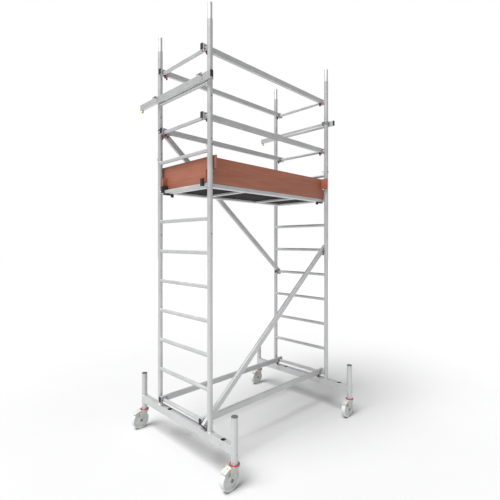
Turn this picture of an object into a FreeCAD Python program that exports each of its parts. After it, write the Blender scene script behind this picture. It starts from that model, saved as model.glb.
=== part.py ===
import FreeCAD, Part
import math
import os

V = FreeCAD.Vector
os.makedirs("parts", exist_ok=True)

# Mobile tower scaffold, all sizes in millimetres, +Z up, floor at Z = 0.
# X runs along the deck from the left frame to the right frame, and -Y is the near long side.

# Tower layout
frame_spacing = 1500.0
frame_width = 673.0
rung_pitch = 250.0
rung_inset = 50.0
lower_rungs = 8
upper_rungs = 4

# Round tubes of the frames
upright_r = 20.0
upright_wall = 2.0
rung_r = 14.0
rung_wall = 1.8
weld_gap = 0.1
spigot_clear = 0.75
spigot_wall = 2.5
spigot_reach = 100.0
top_spigot_out = 120.0
top_spigot_step = 2.0
top_spigot_slim = 0.25
clip_hole_r = 5.0
clip_clear = 0.5
clip_height = 88.0
spare_hole_heights = (128.0, 439.0)
lower_hole_height = 1438.0
clip_head_r = 8.0
clip_head_t = 4.0
clip_ring_r = 12.0
clip_wire_r = 2.0

# Castors
wheel_r = 75.0
wheel_w = 40.0
wheel_web_w = 24.0
wheel_rim = 16.0
hub_r = 22.0
hub_w = 43.0
tread_round = 5.0
trail = 44.0
axle_r = 6.0
run_clear = 0.05
fork_gap = 2.0
leg_t = 4.0
boss_r = 15.0
crown_gap = 3.7
crown_t = 3.5
crown_r = 36.0
ring_gap = 0.3
ring_t = 4.0
ring_r = 37.0
flange_t = 3.5
flange_r = 29.0
kingpin_r = 8.0
king_nut_r = 12.0
king_nut_t = 6.0
king_nut_gap = 0.3
bolt_head_r = 10.0
bolt_head_t = 7.0
pedal_pivot_over = 7.0
pedal_pivot_back = 6.0
pedal_travel = 8.0
pedal_t = 4.0
pedal_gap = 1.4
pedal_hub_r = 5.5
pedal_pin_r = 3.5
pedal_start = 92.0
pedal_wide_start = 109.0
pedal_end = 138.0
pedal_w = 50.0
ear_r = 7.0

# Base beams and end posts
post_span = 1200.0
post_r = 24.0
post_wall = 3.0
post_height = 317.0
post_cap_t = 5.0
cap_plug = 12.0
stem_clear = 0.5
stem_height = 90.0
button_r = 4.5
button_rise = 61.0
button_proud = 1.5
beam_rise = 58.0
beam_h = 60.0
beam_w = 50.0
beam_wall = 3.0
beam_corner = 4.0
spare_shift = 150.0
spare_r = 19.0
side_hole_r = 4.0

# Rails and braces with their claws and latches
rail_h = 45.0
rail_w = 25.0
rail_wall = 2.0
rail_corner = 3.0
rail_rise = 9.0
rail_overrun = 40.0
cap_t = 6.0
plug_clear = 0.2
mouth_clear = 0.3
cheek_t = 3.0
cheek_outer = 26.0
cheek_inner = 38.0
cheek_top = 24.0
cheek_bottom = 27.0
jaw_bottom = 24.0
latch_pin_r = 2.5
latch_pin_u = 27.0
latch_pin_drop = 5.5
latch_pin_proud = 1.0
latch_hub_r = 5.0
latch_w = 18.0
latch_t = 6.0
latch_reach = 28.0
latch_gap = 0.5
lever_len = 24.0
lever_t = 6.0
lever_angle = -75.0
brace_gap = 0.5
side_gap = 4.0
lone_gap = 16.0

# Deck
deck_end_gap = 14.0
side_beam_w = 50.0
side_beam_drop = 1.0
deck_near_gap = 14.5
deck_brace_gap = 1.0
cross_beam_w = 40.0
lip_w = 12.0
deck_t = 12.0
deck_clear = 1.0
hatch_half = 322.0
mid_beam_x = 330.0
hatch_gap = 2.0
hatch_rest = 0.3
claw_w = 22.0
claw_top = 35.0
claw_overrun = 35.0
claw_foot = 11.0
tongue = 32.0
hinge_x = 200.0
hinge_half = 40.0
knuckle_half = 13.5
knuckle_gap = 0.5
knuckle_r = 4.0
hinge_pin_r = 2.0
hinge_leaf_t = 2.0
hinge_leaf = 24.0
strap_leaf = 46.0
lock_in = 70.0
lock_t = 11.0
lock_w = 24.0
lock_pin_r = 4.0
lock_gap = 0.3

# Toe boards
board_h = 200.0
board_t = 15.0
board_gap = 0.5
short_board_in = 32.0
long_tab = 47.0
short_tab = 68.0

# Wall support arms
arm_len = 990.0
arm_h = 50.0
arm_w = 25.0
arm_near_over = 68.5
coupler_t = 4.0
coupler_h = 34.0
coupler_lift = 1.0
coupler_gap = 0.5
lug_w = 26.0
lug_in = 44.0
screw_in = 32.0
screw_rise = 12.0
screw_r = 5.0
screw_hole_clear = 1.0
screw_out = 26.0
bar_r = 4.5
bar_len = 60.0
hook_r = 12.0
hook_t = 6.0
hook_w = 12.0

# Levels and places worked out from the sizes above
half_x = frame_spacing / 2.0
half_y = frame_width / 2.0
inner_y = half_y - upright_r
spigot_r = upright_r - upright_wall - spigot_clear
crown_z = 2.0 * wheel_r + crown_gap
ring_z = crown_z + crown_t + ring_gap
flange_z = ring_z + ring_t
pedal_pivot_up = wheel_r + pedal_pivot_over
post_foot = flange_z + flange_t
post_top = post_foot + post_height
beam_z = post_foot + beam_rise
foot_z = beam_z + beam_h
joint_z = foot_z + lower_rungs * rung_pitch
top_z = joint_z + upper_rungs * rung_pitch
deck_rung = lower_rungs
mid_rung = lower_rungs + 2
top_rung = lower_rungs + 4
mouth_r = rung_r + mouth_clear
claw_half = rail_w / 2.0 + cheek_t
brace_y = inner_y - brace_gap - claw_half
beside_y = brace_y - side_gap - 2.0 * claw_half
lone_y = inner_y - lone_gap - claw_half
leg_in = wheel_w / 2.0 + fork_gap
leg_out = leg_in + leg_t
post_y = post_span / 2.0
latch_pin_w = rung_r + latch_pin_drop


def rung_z(number):
    return foot_z + rung_inset + (number - 1) * rung_pitch


deck_z = rung_z(deck_rung) + rung_r
side_beam_h = 2.0 * rung_r + side_beam_drop
side_beam_z = deck_z - side_beam_h
deck_half = half_x - rung_r - deck_end_gap
deck_near = inner_y - deck_near_gap
deck_far = brace_y - rail_w / 2.0 - deck_brace_gap
deck_shift = (deck_far - deck_near) / 2.0
side_beam_y1 = (deck_far + deck_near) / 2.0
side_beam_y0 = side_beam_y1 - side_beam_w
arm_x = half_x + upright_r + coupler_t + coupler_gap + arm_w / 2.0
arm_z = rung_z(lower_rungs + 3) + arm_h / 2.0
screw_z = arm_z + screw_rise
bar_x = arm_x + arm_w / 2.0 + screw_out
reach_left = half_x + trail + wheel_r
reach_right = bar_x + bar_r
row_shift = V((reach_left - reach_right) / 2.0, 0, 0)


def box(x0, x1, y0, y1, z0, z1):
    return Part.makeBox(x1 - x0, y1 - y0, z1 - z0, V(x0, y0, z0))


def rod(radius, start, end):
    run = end - start
    return Part.makeCylinder(radius, run.Length, start, run)


def pipe(radius, wall, start, end):
    return rod(radius, start, end).cut(rod(radius - wall, start, end))


def plate(points, y0, y1):
    """A polygon of X, Z points, thick along Y."""
    corners = [V(x, y0, z) for x, z in points]
    face = Part.Face(Part.makePolygon(corners + corners[:1]))
    return face.extrude(V(0, y1 - y0, 0))


def rounded_bar(x0, x1, width, height, corner):
    """A bar along X with rounded long edges, centred on Y = Z = 0."""
    bar = box(x0, x1, -width / 2.0, width / 2.0, -height / 2.0, height / 2.0)
    long_edges = [e for e in bar.Edges if abs(e.Vertexes[0].X - e.Vertexes[-1].X) > (x1 - x0) / 2.0]
    return bar.makeFillet(corner, long_edges)


def rounded_tube(x0, x1, width, height, wall, corner):
    inner = box(x0, x1, wall - width / 2.0, width / 2.0 - wall, wall - height / 2.0, height / 2.0 - wall)
    return rounded_bar(x0, x1, width, height, corner).cut(inner)


def end_cap(width, height, wall, corner):
    """A tube plug whose outer face looks along -X, with the tube's end at X = 0."""
    half_w = width / 2.0 - wall - plug_clear
    half_h = height / 2.0 - wall - plug_clear
    plug = box(0, cap_plug, -half_w, half_w, -half_h, half_h)
    return rounded_bar(-cap_t, 0, width, height, corner).fuse(plug).removeSplitter()


def along_y(shape):
    turned = shape.copy()
    turned.rotate(V(0, 0, 0), V(0, 0, 1), 90)
    return turned


def moved(shape, x, y, z):
    copy = shape.copy()
    copy.translate(V(x, y, z))
    return copy


def mirror_x(shape):
    return shape.mirror(V(0, 0, 0), V(1, 0, 0))


def mirror_y(shape):
    return shape.mirror(V(0, 0, 0), V(0, 1, 0))


def sector(radius, start, end, y0, y1):
    """A wedge about the Y axis, its angles counted from +X towards +Z."""
    middle = (start + end) / 2.0
    points = [V(radius * math.cos(math.radians(a)), y0, radius * math.sin(math.radians(a)))
              for a in (start, middle, end)]
    arc = Part.Arc(*points).toShape()
    sides = [Part.makeLine(points[2], V(0, y0, 0)), Part.makeLine(V(0, y0, 0), points[0])]
    return Part.Face(Part.Wire([arc] + sides)).extrude(V(0, y1 - y0, 0))


def save(name, solids):
    shape = Part.makeCompound([s.copy() for s in solids]) if len(solids) > 1 else solids[0].copy()
    shape.translate(row_shift)
    shape.exportStep("parts/" + name + ".step")


def on_deck(solids):
    """The deck is drawn about Y = 0, and then moved aside so that the far brace passes outside it."""
    return [moved(s, 0, deck_shift, 0) for s in solids]


SIDES = (("left", -1.0), ("right", 1.0))
CORNERS = [(edge + "_" + side, sx, sy) for side, sx in SIDES for edge, sy in (("near", -1.0), ("far", 1.0))]


# Frames: uprights and rungs
def upright(x, y, z0, z1, holes):
    tube = pipe(upright_r, upright_wall, V(x, y, z0), V(x, y, z1))
    for height in holes:
        z = z0 + height
        tube = tube.cut(rod(clip_hole_r, V(x, y - 2 * upright_r, z), V(x, y + 2 * upright_r, z)))
    return tube


def rung(x, number):
    z = rung_z(number)
    tube = pipe(rung_r, rung_wall, V(x, -half_y, z), V(x, half_y, z))
    for y in (-half_y, half_y):
        low = V(x, y, z - 2 * rung_r)
        tube = tube.cut(rod(upright_r + weld_gap, low, low + V(0, 0, 4 * rung_r)))
    return tube


def frames(first, count, z0, z1, holes):
    solids = []
    for side, sx in SIDES:
        solids += [upright(sx * half_x, sy * half_y, z0, z1, holes) for sy in (-1, 1)]
        solids += [rung(sx * half_x, first + i) for i in range(count)]
    return solids


def spigots():
    solids = []
    for name, sx, sy in CORNERS:
        x = sx * half_x
        y = sy * half_y
        for z0, z1 in ((foot_z, foot_z + spigot_reach),
                       (joint_z - spigot_reach, joint_z + spigot_reach),
                       (top_z - spigot_reach, top_z + top_spigot_out)):
            tube = pipe(spigot_r, spigot_wall, V(x, y, z0), V(x, y, z1))
            if z0 < joint_z < z1:
                z = joint_z + clip_height
                tube = tube.cut(rod(clip_hole_r, V(x, y - 2 * upright_r, z), V(x, y + 2 * upright_r, z)))
            elif z1 > top_z:
                shaved = V(x, y, top_z + top_spigot_step)
                tube = tube.cut(pipe(upright_r, upright_r - spigot_r + top_spigot_slim, shaved, V(x, y, z1 + 1)))
            solids.append(tube)
    return solids


def joint_clip(x, y):
    z = joint_z + clip_height
    head_y = y - upright_r - clip_head_t
    ring_y = y + upright_r + clip_ring_r + clip_wire_r
    pin = rod(clip_hole_r - clip_clear, V(x, head_y, z), V(x, ring_y - clip_ring_r + clip_wire_r, z))
    head = rod(clip_head_r, V(x, head_y, z), V(x, head_y + clip_head_t, z))
    ring = Part.makeTorus(clip_ring_r, clip_wire_r, V(x, ring_y, z), V(1, 0, 0))
    return pin.fuse([head, ring]).removeSplitter()


save("lower_frames", frames(1, lower_rungs, foot_z, joint_z, (lower_hole_height,)))
save("upper_frames", frames(lower_rungs + 1, upper_rungs, joint_z, top_z, (clip_height,) + spare_hole_heights))
save("spigots", spigots())
save("joint_clips", [joint_clip(sx * half_x, sy * half_y) for name, sx, sy in CORNERS])


# Base beams and end posts
def base_beam(sx):
    beam = moved(along_y(rounded_tube(-post_y, post_y, beam_w, beam_h, beam_wall, beam_corner)),
                 sx * half_x, 0, beam_z + beam_h / 2.0)
    for sy in (-1, 1):
        post_low = V(sx * half_x, sy * post_y, beam_z - 1)
        beam = beam.cut(rod(post_r + weld_gap, post_low, post_low + V(0, 0, beam_h + 2)))
        hole = V(sx * half_x, sy * half_y - spare_shift, foot_z - 2 * beam_wall)
        beam = beam.cut(rod(spare_r, hole, hole + V(0, 0, 4 * beam_wall)))
        pin = V(sx * half_x - beam_w, hole.y, beam_z + beam_h / 2.0)
        beam = beam.cut(rod(side_hole_r, pin, pin + V(2 * beam_w, 0, 0)))
    return beam


def end_post(x, y):
    tube = pipe(post_r, post_wall, V(x, y, post_foot), V(x, y, post_top - post_cap_t))
    z = post_foot + button_rise
    outward = math.copysign(2 * post_r, y)
    return tube.cut(rod(button_r + plug_clear, V(x, y, z), V(x, y + outward, z)))


def post_cap(x, y):
    seat = post_top - post_cap_t
    plug = rod(post_r - post_wall - plug_clear, V(x, y, seat - cap_plug), V(x, y, seat))
    return rod(post_r, V(x, y, seat), V(x, y, post_top)).fuse(plug).removeSplitter()


save("base_beams", [base_beam(sx) for side, sx in SIDES])
save("end_posts", [end_post(sx * half_x, sy * post_y) for name, sx, sy in CORNERS])


# Castors: every one trails towards -X
def castor_stem(x, y):
    foot = V(x, y, flange_z)
    stem = rod(post_r - post_wall - stem_clear, foot, foot + V(0, 0, flange_t + stem_height))
    flange = rod(flange_r, foot, foot + V(0, 0, flange_t))
    nut_top = crown_z - king_nut_gap
    kingpin = rod(kingpin_r, V(x, y, nut_top - king_nut_t), foot)
    nut = rod(king_nut_r, V(x, y, nut_top - king_nut_t), V(x, y, nut_top))
    z = post_foot + button_rise
    outward = math.copysign(post_r + button_proud, y)
    button = rod(button_r, V(x, y, z), V(x, y + outward, z))
    return stem.fuse([flange, kingpin, nut, button]).removeSplitter()


def castor_ring(x, y):
    return pipe(ring_r, ring_r - kingpin_r, V(x, y, ring_z), V(x, y, ring_z + ring_t))


def fork(x, y):
    axle = V(-trail, 0, wheel_r)
    pivot = V(-trail - pedal_pivot_back, 0, wheel_r + pedal_pivot_up)
    crown_top = crown_z + crown_t
    outline = ((-trail - boss_r, wheel_r), (pivot.x - ear_r, pivot.z), (pivot.x, pivot.z + ear_r - 1),
               (pivot.x + ear_r + 1, pivot.z + ear_r - 1), (-crown_r + 2, crown_top),
               (crown_r - 8, crown_top), (crown_r - 6, crown_z - 4), (boss_r - trail, wheel_r))
    pieces = []
    for sy in (-1, 1):
        y0 = min(sy * leg_in, sy * leg_out)
        leg = plate(outline, y0, y0 + leg_t)
        leg = leg.fuse(rod(boss_r, V(axle.x, y0, axle.z), V(axle.x, y0 + leg_t, axle.z)))
        leg = leg.fuse(rod(ear_r, V(pivot.x, y0, pivot.z), V(pivot.x, y0 + leg_t, pivot.z)))
        pieces.append(leg)
    crown = rod(crown_r, V(0, 0, crown_z), V(0, 0, crown_top))
    bridge = box(-crown_r + 4, crown_r - 8, -leg_in, leg_in, crown_z, crown_top)
    body = crown.fuse([bridge] + pieces).removeSplitter()
    body = body.cut(rod(kingpin_r + run_clear, V(0, 0, crown_z - 1), V(0, 0, crown_top + 1)))
    body = body.cut(rod(axle_r, axle - V(0, 2 * leg_out, 0), axle + V(0, 2 * leg_out, 0)))
    body = body.cut(rod(pedal_pin_r + run_clear, pivot - V(0, 2 * leg_out, 0), pivot + V(0, 2 * leg_out, 0)))
    return moved(body, x, y, 0)


def wheel(x, y):
    half = wheel_w / 2.0
    web = wheel_web_w / 2.0
    boss = hub_w / 2.0
    rim_in = wheel_r - wheel_rim
    profile = [(axle_r + run_clear, -boss), (hub_r, -boss), (hub_r + 4, -web), (rim_in, -web), (rim_in + 3, -half),
               (wheel_r - tread_round, -half), (wheel_r, tread_round - half), (wheel_r, half - tread_round),
               (wheel_r - tread_round, half), (rim_in + 3, half), (rim_in, web), (hub_r + 4, web),
               (hub_r, boss), (axle_r + run_clear, boss)]
    corners = [V(r, across, 0) for r, across in profile]
    face = Part.Face(Part.makePolygon(corners + corners[:1]))
    return moved(face.revolve(V(0, 0, 0), V(0, 1, 0), 360), x - trail, y, wheel_r)


def axle_bolt(x, y):
    centre = V(x - trail, y, wheel_r)
    end = V(0, leg_out + bolt_head_t, 0)
    bolt = rod(axle_r, centre - end, centre + end)
    for sy in (-1, 1):
        head = rod(bolt_head_r, centre + V(0, sy * leg_out, 0), centre + V(0, sy * (leg_out + bolt_head_t), 0))
        bolt = bolt.fuse(head)
    return bolt.removeSplitter()


def pedal(x, y):
    """Shaped lying on the wheel, then lifted to its released place."""
    narrow = leg_in - run_clear * 10
    inner = wheel_r + pedal_gap
    outer = inner + pedal_t
    tread = sector(outer, pedal_start, pedal_end, -narrow, narrow)
    wide = sector(outer, pedal_wide_start, pedal_end, -pedal_w / 2.0, pedal_w / 2.0)
    hollow = rod(inner, V(0, -pedal_w, 0), V(0, pedal_w, 0))
    tread = tread.fuse(wide).cut(hollow)
    pivot = V(-pedal_pivot_back, 0, pedal_pivot_up)
    hub = rod(pedal_hub_r, pivot - V(0, narrow, 0), pivot + V(0, narrow, 0))
    pin = rod(pedal_pin_r, pivot - V(0, leg_out + 1, 0), pivot + V(0, leg_out + 1, 0))
    body = tread.fuse([hub, pin]).removeSplitter()
    body.rotate(pivot, V(0, 1, 0), pedal_travel)
    return moved(body, x - trail, y, wheel_r)


save("castor_stems", [castor_stem(sx * half_x, sy * post_y) for name, sx, sy in CORNERS])
save("castor_rings", [castor_ring(sx * half_x, sy * post_y) for name, sx, sy in CORNERS])
for name, sx, sy in CORNERS:
    save("fork_" + name, [fork(sx * half_x, sy * post_y)])
    save("wheel_" + name, [wheel(sx * half_x, sy * post_y)])
    save("axle_" + name, [axle_bolt(sx * half_x, sy * post_y)])
    save("pedal_" + name, [pedal(sx * half_x, sy * post_y)])


# Rails and braces, drawn with the left rung's centre at X = Z = 0 and then turned and moved
def rung_mouth(y_half):
    slot = box(-mouth_r, mouth_r, -y_half, y_half, -4 * mouth_r, 0)
    return slot.fuse(rod(mouth_r, V(0, -y_half, 0), V(0, y_half, 0)))


def rail_tube(span):
    start = cap_t - rail_overrun
    tube = rounded_tube(start, span - start, rail_w, rail_h, rail_wall, rail_corner)
    tube.translate(V(0, 0, rail_rise))
    for x in (0, span):
        tube = tube.cut(moved(rung_mouth(rail_w), x, 0, 0))
    return tube


def cheek(y0):
    outline = ((-cheek_outer, 8 - jaw_bottom), (-cheek_outer, cheek_top - 8), (8 - cheek_outer, cheek_top),
               (cheek_inner - 14, cheek_top), (cheek_inner, cheek_top - 20), (cheek_inner, 8 - cheek_bottom),
               (cheek_inner - 8, -cheek_bottom), (mouth_r, -cheek_bottom), (mouth_r, -jaw_bottom),
               (-mouth_r, -jaw_bottom), (8 - cheek_outer, -jaw_bottom))
    side = plate(outline, y0, y0 + cheek_t).cut(rung_mouth(2 * rail_w))
    pin = V(latch_pin_u, y0 - 1, -latch_pin_w)
    return side.cut(rod(latch_pin_r, pin, pin + V(0, cheek_t + 2, 0)))


def latch_pin():
    half = claw_half + latch_pin_proud
    return rod(latch_pin_r, V(latch_pin_u, -half, -latch_pin_w), V(latch_pin_u, half, -latch_pin_w))


def latch():
    half = latch_w / 2.0
    finger_top = -rung_r - latch_gap
    tip = latch_pin_u - latch_reach
    finger = plate(((tip, finger_top), (latch_pin_u, finger_top), (latch_pin_u, finger_top - latch_t),
                    (tip + 4, finger_top - latch_t), (tip, finger_top - 2)), -half, half)
    hub = rod(latch_hub_r, V(latch_pin_u, -half, -latch_pin_w), V(latch_pin_u, half, -latch_pin_w))
    lever = box(0, lever_len, -half, half, -lever_t / 2.0, lever_t / 2.0)
    lever.rotate(V(0, 0, 0), V(0, 1, 0), -lever_angle)
    lever.translate(V(latch_pin_u, 0, -latch_pin_w))
    body = finger.fuse([hub, lever]).removeSplitter()
    bore = V(latch_pin_u, -latch_w, -latch_pin_w)
    return body.cut(rod(latch_pin_r + run_clear, bore, bore + V(0, 2 * latch_w, 0)))


def rail_cap():
    return moved(end_cap(rail_w, rail_h, rail_wall, rail_corner), cap_t - rail_overrun, 0, rail_rise)


MEMBERS = (("top_near", top_rung, top_rung, -lone_y), ("top_far", top_rung, top_rung, lone_y),
           ("mid_near", mid_rung, mid_rung, -lone_y), ("mid_far", mid_rung, mid_rung, beside_y),
           ("base_near", 1, 1, -beside_y), ("base_far", 1, 1, lone_y),
           ("brace_near", 1, mid_rung - 4, -brace_y), ("brace_far", mid_rung, mid_rung - 5, brace_y))

tubes = {}
claws = []
caps = [post_cap(sx * half_x, sy * post_y) for name, sx, sy in CORNERS]
for member, left_rung, right_rung, across in MEMBERS:
    rise = rung_z(right_rung) - rung_z(left_rung)
    span = math.hypot(frame_spacing, rise)
    slope = math.degrees(math.atan2(rise, frame_spacing))

    def placed(shape):
        turned = shape.copy()
        turned.rotate(V(0, 0, 0), V(0, 1, 0), -slope)
        return moved(turned, -half_x, across, rung_z(left_rung))

    def right_end(shape):
        return moved(mirror_x(shape), span, 0, 0)

    tubes[member] = placed(rail_tube(span))
    for side, turn in (("left", lambda shape: shape), ("right", right_end)):
        claws += [placed(turn(cheek(y0))) for y0 in (-claw_half, rail_w / 2.0)]
        claws.append(placed(turn(latch_pin())))
        caps.append(placed(turn(rail_cap())))
        save("latch_" + member + "_" + side, [placed(turn(latch()))])

save("rails", [tubes[m] for m in ("top_near", "top_far", "mid_near", "mid_far", "base_near", "base_far")])
save("diagonal_braces", [tubes["brace_near"], tubes["brace_far"]])
save("claws", claws)


# Deck
deck_claw_y = side_beam_y1 - board_t - 1.0 - claw_w / 2.0


def side_beam(sy):
    tube = rounded_tube(-deck_half, deck_half, side_beam_w, side_beam_h, rail_wall, rail_corner)
    tube = moved(tube, 0, sy * (side_beam_y0 + side_beam_w / 2.0), side_beam_z + side_beam_h / 2.0)
    return tube.cut(rod(lock_pin_r + run_clear, lock_pivot(-sy) - V(0, 0, 1), lock_pivot(-sy) + V(0, 0, 9)))


def lock_pivot(sx):
    """The lock at the far left corner has sx = -1, and the near right one has sx = 1."""
    return V(sx * (half_x - lock_in), -sx * deck_claw_y, side_beam_z)


def cross_beam(x):
    height = side_beam_h - deck_t
    tube = rounded_tube(-side_beam_y0, side_beam_y0, cross_beam_w, height, rail_wall, rail_wall)
    return moved(along_y(tube), x, 0, side_beam_z + height / 2.0)


def end_cross_beam(sx):
    """An outer cross beam, with a lip that closes the panel's edge and carries the toe board."""
    x0 = min(sx * deck_half, sx * (deck_half - lip_w))
    lip = box(x0, x0 + lip_w, -side_beam_y0, side_beam_y0, deck_z - deck_t - rail_wall, deck_z)
    return cross_beam(sx * (deck_half - cross_beam_w / 2.0)).fuse(lip).removeSplitter()


def deck_panel(sx):
    end = deck_half - lip_w - deck_clear / 2.0
    x0 = min(sx * end, sx * (hatch_half + hatch_gap))
    x1 = max(sx * end, sx * (hatch_half + hatch_gap))
    half = side_beam_y0 - deck_clear
    return box(x0, x1, -half, half, deck_z - deck_t, deck_z)


def deck_claw(sx, sy):
    """Hooks over the deck's rung, with a tongue that slides into the side beam."""
    rung_level = rung_z(deck_rung)
    root = -half_x + mouth_r + (deck_end_gap - mouth_clear)
    top = deck_z + claw_top
    over = -half_x - claw_overrun
    board = -half_x + short_board_in - board_t / 2.0 - 2
    outline = ((over, rung_level - claw_foot), (over, top - 8), (over + 8, top), (board - 8, top),
               (board, top - 8), (board, deck_z), (root, deck_z), (root, deck_z - rail_wall - plug_clear),
               (root + tongue, deck_z - rail_wall - plug_clear),
               (root + tongue, side_beam_z + rail_wall + plug_clear),
               (root, side_beam_z + rail_wall + plug_clear), (root, side_beam_z + 1),
               (-half_x, side_beam_z + 1), (-half_x, rung_level - claw_foot))
    body = plate(outline, deck_claw_y - claw_w / 2.0, deck_claw_y + claw_w / 2.0)
    body = body.cut(moved(rung_mouth(2 * half_y), -half_x, 0, rung_level))
    body = body if sx < 0 else mirror_x(body)
    return body if sy > 0 else mirror_y(body)


def hinge_line():
    return V(0, deck_clear / 2.0 - side_beam_y0, deck_z + knuckle_r + hatch_rest)


def knuckle(x0, x1, bore):
    line = hinge_line()
    return pipe(knuckle_r, knuckle_r - bore, V(x0, line.y, line.z), V(x1, line.y, line.z))


def hinge_bore(x, bore):
    line = hinge_line()
    return rod(bore, V(x - hinge_half - 1, line.y, line.z), V(x + hinge_half + 1, line.y, line.z))


def fixed_hinge(x):
    line = hinge_line()
    leaf = box(x - hinge_half, x + hinge_half, line.y - hinge_leaf - knuckle_r, line.y - knuckle_r,
               deck_z, deck_z + hinge_leaf_t)
    parts = []
    for sx in (-1, 1):
        x0 = min(x + sx * hinge_half, x + sx * (knuckle_half + knuckle_gap))
        x1 = max(x + sx * hinge_half, x + sx * (knuckle_half + knuckle_gap))
        parts.append(rod(knuckle_r, V(x0, line.y, line.z), V(x1, line.y, line.z)))
        parts.append(box(x0, x1, line.y - 2 * knuckle_r, line.y, deck_z + hatch_rest, deck_z + hinge_leaf_t))
    return leaf.fuse(parts).removeSplitter().cut(hinge_bore(x, hinge_pin_r))


def hatch_strap(x):
    line = hinge_line()
    strap = box(x - knuckle_half, x + knuckle_half, line.y, line.y + strap_leaf, deck_z, deck_z + hinge_leaf_t)
    barrel = rod(knuckle_r, V(x - knuckle_half, line.y, line.z), V(x + knuckle_half, line.y, line.z))
    under = box(x - knuckle_half, x + knuckle_half, line.y - 1, line.y + 1, deck_z - 1, deck_z + hatch_rest)
    strap = strap.fuse(barrel).removeSplitter().cut(under)
    return strap.cut(hinge_bore(x, hinge_pin_r + run_clear))


def hinge_pin(x):
    line = hinge_line()
    return rod(hinge_pin_r, V(x - hinge_half, line.y, line.z), V(x + hinge_half, line.y, line.z))


def hatch_panel():
    half = side_beam_y0 - deck_clear
    return box(-hatch_half, hatch_half, -half, half, deck_z - deck_t + hatch_rest, deck_z)


def lift_lock(sx):
    pivot = lock_pivot(sx)
    top = side_beam_z - lock_gap
    reach = lock_in + rung_r
    lever = box(0, reach, -lock_w / 2.0, lock_w / 2.0, top - lock_t, top)
    lever = lever.fuse(rod(lock_w / 2.0, V(0, 0, top - lock_t), V(0, 0, top)))
    lever = lever.fuse(rod(lock_pin_r, V(0, 0, top), V(0, 0, top + rail_wall + 2))).removeSplitter()
    lever = lever if sx > 0 else mirror_x(lever)
    return moved(lever, pivot.x, pivot.y, 0)


save("deck_beams", on_deck([side_beam(-1), side_beam(1), end_cross_beam(-1), end_cross_beam(1),
                            cross_beam(-mid_beam_x), cross_beam(mid_beam_x)]))
save("deck_panels", on_deck([deck_panel(-1), deck_panel(1)]))
save("deck_claws", on_deck([deck_claw(sx, sy) for name, sx, sy in CORNERS]))
save("hatch_hinges", on_deck([piece(sx * hinge_x) for piece in (fixed_hinge, hinge_pin) for side, sx in SIDES]))
save("hatch_panel", on_deck([hatch_panel()]))
save("hatch_straps", on_deck([hatch_strap(sx * hinge_x) for side, sx in SIDES]))
save("lift_lock_far_left", on_deck([lift_lock(-1)]))
save("lift_lock_near_right", on_deck([lift_lock(1)]))


# Toe boards, halved over each other at the corners
def long_board(sy):
    slot = half_x - short_board_in - board_t / 2.0 - board_gap
    end = half_x - short_board_in + long_tab
    y0 = min(sy * side_beam_y1, sy * (side_beam_y1 - board_t))
    full = box(-slot, slot, y0, y0 + board_t, deck_z, deck_z + board_h)
    return full.fuse(box(-end, end, y0, y0 + board_t, deck_z, deck_z + board_h / 2.0)).removeSplitter()


def short_board(sx):
    x0 = sx * (half_x - short_board_in) - board_t / 2.0
    inside = side_beam_y1 - board_t - board_gap
    end = side_beam_y1 + short_tab
    full = box(x0, x0 + board_t, -inside, inside, deck_z, deck_z + board_h)
    tab = box(x0, x0 + board_t, -end, end, deck_z + board_h / 2.0, deck_z + board_h)
    return full.fuse(tab).removeSplitter()


save("toe_boards", on_deck([long_board(-1), long_board(1), short_board(-1), short_board(1)]))


# Wall support arms, drawn on the left and mirrored to the right
def arm_tube():
    near = -half_y - arm_near_over + cap_t
    tube = moved(along_y(rounded_tube(near, near + arm_len - 2 * cap_t, arm_w, arm_h, rail_wall, rail_corner)),
                 -arm_x, 0, arm_z)
    for sy in (-1, 1):
        start = V(-arm_x - arm_w, sy * (half_y - screw_in), screw_z)
        tube = tube.cut(rod(screw_r + screw_hole_clear, start, start + V(2 * arm_w, 0, 0)))
    return tube


def arm_cap(sy):
    near = -half_y - arm_near_over + cap_t
    cap = along_y(end_cap(arm_w, arm_h, rail_wall, rail_corner))
    if sy < 0:
        return moved(cap, -arm_x, near, arm_z)
    return moved(mirror_y(cap), -arm_x, near + arm_len - 2 * cap_t, arm_z)


def coupler(sy):
    x = -half_x
    y = sy * half_y
    z0 = rung_z(lower_rungs + 3) + rung_r + coupler_lift
    ring = rod(upright_r + coupler_t, V(x, y, z0), V(x, y, z0 + coupler_h))
    y0 = min(y, y - sy * lug_in)
    lug = box(-arm_x + arm_w / 2.0, x + lug_w / 2.0, y0, y0 + lug_in, z0, z0 + coupler_h)
    body = ring.fuse(lug).removeSplitter()
    body = body.cut(rod(upright_r + weld_gap, V(x, y, z0 - 1), V(x, y, z0 + coupler_h + 1)))
    start = V(-arm_x, sy * (half_y - screw_in), screw_z)
    return body.cut(rod(screw_r + run_clear, start, start + V(arm_x, 0, 0)))


def hand_screw(sy):
    y = sy * (half_y - screw_in)
    stem = rod(screw_r, V(-bar_x, y, screw_z), V(-half_x + lug_w / 2.0 + 4, y, screw_z))
    bar = rod(bar_r, V(-bar_x, y - bar_len / 2.0, screw_z), V(-bar_x, y + bar_len / 2.0, screw_z))
    return stem.fuse(bar).removeSplitter()


def arm_hook():
    """A hook below the arm's far end, open towards the wall."""
    end = -half_y - arm_near_over + arm_len
    floor = arm_z - arm_h / 2.0
    y = end - hook_r - 2
    z = floor - hook_r
    ring = pipe(hook_r, hook_t, V(-arm_x - hook_w / 2.0, y, z), V(-arm_x + hook_w / 2.0, y, z))
    opening = box(-arm_x - hook_w, -arm_x + hook_w, y, y + 2 * hook_r, z + 2, floor + 1)
    leg = box(-arm_x - hook_w / 2.0, -arm_x + hook_w / 2.0, y - hook_r, y - hook_r + hook_t, z, floor)
    return ring.cut(opening).fuse(leg).removeSplitter()


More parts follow.
